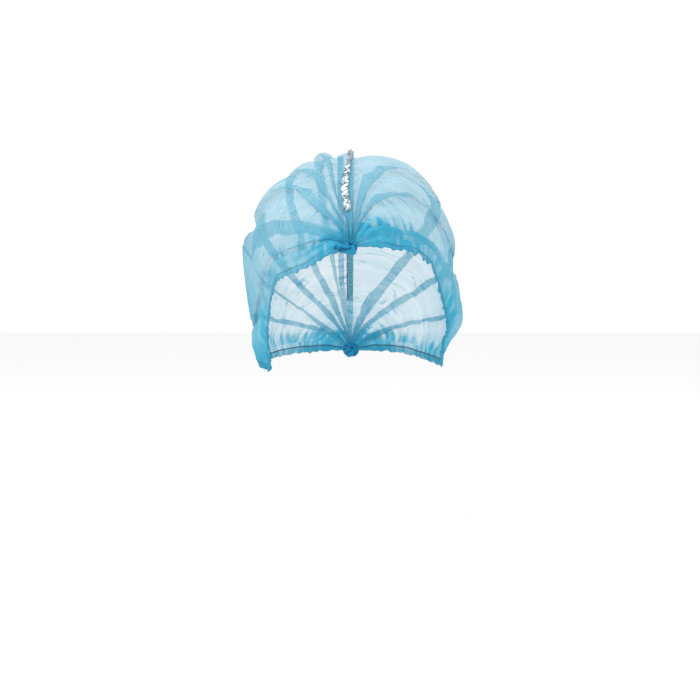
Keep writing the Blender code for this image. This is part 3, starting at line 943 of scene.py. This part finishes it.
def foilMaterial():
    # Household aluminium foil, bright rolled, crumpled into facets. Each facet gets a random grey of painted
    # reflection, and the crease valleys get painted shade.
    made, tree = newMaterial("crumpledAluminiumFoil")
    uv = addNode(tree, "ShaderNodeUVMap", {"uv_map": "clothRun"})
    sizes = {"Scale": (1 / foilFinish["facetRun"], 1 / foilFinish["facetWidth"], 1)}
    facets = addNode(tree, "ShaderNodeMapping", sizes, {"Vector": uv.outputs["UV"]}).outputs[0]
    cells = addNode(tree, "ShaderNodeTexVoronoi", {"Scale": 1.0, "Randomness": 1.0}, {"Vector": facets})
    # Painted reflection: a random grey for each facet.
    paintedFacetReflection = addNode(tree, "ShaderNodeSeparateColor", {}, {"Color": cells.outputs["Color"]}).outputs[0]
    # Painted shade: the strip's gather attribute is high in its crease valleys.
    paintedCreaseShade = addNode(tree, "ShaderNodeAttribute", {"attribute_name": "gather"}).outputs["Fac"]
    paintedReflectionAndShade = addMath(tree, "MULTIPLY_ADD", paintedFacetReflection, 1.3, -0.02)
    paintedReflectionAndShade = addMath(tree, "MULTIPLY_ADD", paintedCreaseShade, -1.1, paintedReflectionAndShade, clamp=True)
    # The dark and the light grey of the painted reflection and shade.
    paintedReflectionTones = {"data_type": "RGBA", 6: linear("#5E737C"), 7: linear("#D8DEE2")}
    tone = addNode(tree, "ShaderNodeMix", paintedReflectionTones, {0: paintedReflectionAndShade})
    dents = {"Strength": foilFinish["tilt"], "Distance": foilFinish["depth"]}
    bump = addNode(tree, "ShaderNodeBump", dents, {"Height": cells.outputs["Distance"]})
    metal = addNode(
        tree,
        "ShaderNodeBsdfPrincipled",
        {"Metallic": 1.0, "Roughness": foilFinish["roughness"]},
        {"Base Color": tone.outputs[2], "Normal": bump.outputs[0]},
    )
    addNode(tree, "ShaderNodeOutputMaterial", {}, {"Surface": metal.outputs[0]})
    return made


def threadMaterial():
    # Covered elastic: a rubber core wound with fine polyester yarn.
    made, tree = newMaterial("coveredElasticThread")
    place3d = addNode(tree, "ShaderNodeTexCoord")
    yarnSize = {"Scale": 1 / 0.0012, "Detail": 2.0}
    wound = addNode(tree, "ShaderNodeTexNoise", yarnSize, {"Vector": place3d.outputs["Object"]})
    blues = {"data_type": "RGBA", 6: linear("#0D4455"), 7: linear("#1F6A80")}
    tone = addNode(tree, "ShaderNodeMix", blues, {0: wound.outputs[0]})
    yarn = addNode(tree, "ShaderNodeBsdfPrincipled", {"Roughness": 0.75}, {"Base Color": tone.outputs[2]})
    addNode(tree, "ShaderNodeOutputMaterial", {}, {"Surface": yarn.outputs[0]})
    return made


def floorMaterial():
    # Matt white paper backdrop.
    made, tree = newMaterial("paleStudioFloor")
    paint = addNode(tree, "ShaderNodeBsdfPrincipled", {"Base Color": linear("#FCFCFC"), "Roughness": 0.9})
    addNode(tree, "ShaderNodeOutputMaterial", {}, {"Surface": paint.outputs[0]})
    return made


sheer = spunbondMaterial()
welded = weldedMaterial()
for piece in (crownCloth, leftBand, rightBand):
    piece.data.materials.append(sheer)
for piece in (frontGather, rearGather):
    piece.data.materials.append(welded)
foilStrip.data.materials.append(foilMaterial())
elasticFinish = threadMaterial()
for piece in (leftThread, rightThread):
    piece.data.materials.append(elasticFinish)
print("materials made")


# What each piece stands for.

pieceRows = (
    (crownCloth, ("crown_sheet",), "nonwoven_cloth"),
    (leftBand, ("hem_left",), "edge_band"),
    (rightBand, ("hem_right",), "edge_band"),
    (leftThread, ("elastic_left",), "elastic_thread"),
    (rightThread, ("elastic_right",), "elastic_thread"),
    (foilStrip, ("foil_strip",), "foil"),
    (frontGather, ("front_knot",), "welded_ends"),
    (rearGather, ("rear_knot",), "welded_ends"),
)
for piece, nodes, slot in pieceRows:
    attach(piece, "root")
    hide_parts(*nodes)


# Floor, light and camera.

studio = {
    "floorHeight": -0.303,
    "floorSize": 8.0,
    "cameraPlace": (-0.0008, -1.30, -0.0805),
    "cameraAim": (-0.0008, 0.0, -0.1486),
    "lens": 85.8,
    "wallGlow": 1.04,
    "ceilingGlow": 0.92,
}
lamps = {
    # place, aim, size, power
    "top": ((-0.35, -0.45, 0.95), (0, 0, -0.08), 0.7, 9.0),
    "front": ((0.55, -1.5, 0.25), (0, 0, -0.1), 0.9, 3.0),
}


def pointAt(thing, aim):
    thing.rotation_euler = (Vector(aim) - thing.location).to_track_quat("-Z", "Y").to_euler()


bpy.ops.object.select_all(action="DESELECT")
bpy.ops.mesh.primitive_plane_add(size=studio["floorSize"], location=(0, 0, studio["floorHeight"]))
floor = bpy.context.object
floor.name = "floor"
floor.data.materials.append(floorMaterial())

for name, (at, aim, size, power) in lamps.items():
    lampData = bpy.data.lights.new(name, "AREA")
    lampData.shape = "DISK"
    lampData.size = size
    lampData.energy = power
    lamp = bpy.data.objects.new(name, lampData)
    lamp.location = at
    bpy.context.scene.collection.objects.link(lamp)
    pointAt(lamp, aim)

world = bpy.data.worlds.new("studioWorld")
world.use_nodes = True
sky = world.node_tree.nodes["Background"]
sky.inputs["Color"].default_value = linear("#FFFFFF")
direction = addNode(world.node_tree, "ShaderNodeTexCoord")
height = addNode(world.node_tree, "ShaderNodeSeparateXYZ", {}, {0: direction.outputs["Generated"]})
glow = addNode(
    world.node_tree,
    "ShaderNodeMapRange",
    {"From Min": 0.3, "From Max": 0.8, "To Min": studio["wallGlow"], "To Max": studio["ceilingGlow"]},
    {"Value": height.outputs["Z"]},
)
world.node_tree.links.new(glow.outputs[0], sky.inputs["Strength"])
bpy.context.scene.world = world

cameraData = bpy.data.cameras.new("camera")
cameraData.lens = studio["lens"]
camera = bpy.data.objects.new("camera", cameraData)
camera.location = studio["cameraPlace"]
bpy.context.scene.collection.objects.link(camera)
pointAt(camera, studio["cameraAim"])
bpy.context.scene.camera = camera
bpy.context.scene.view_settings.view_transform = "Standard"
bpy.context.scene.cycles.transparent_max_bounces = 48
bpy.context.scene.cycles.caustics_reflective = False
print("stage made")
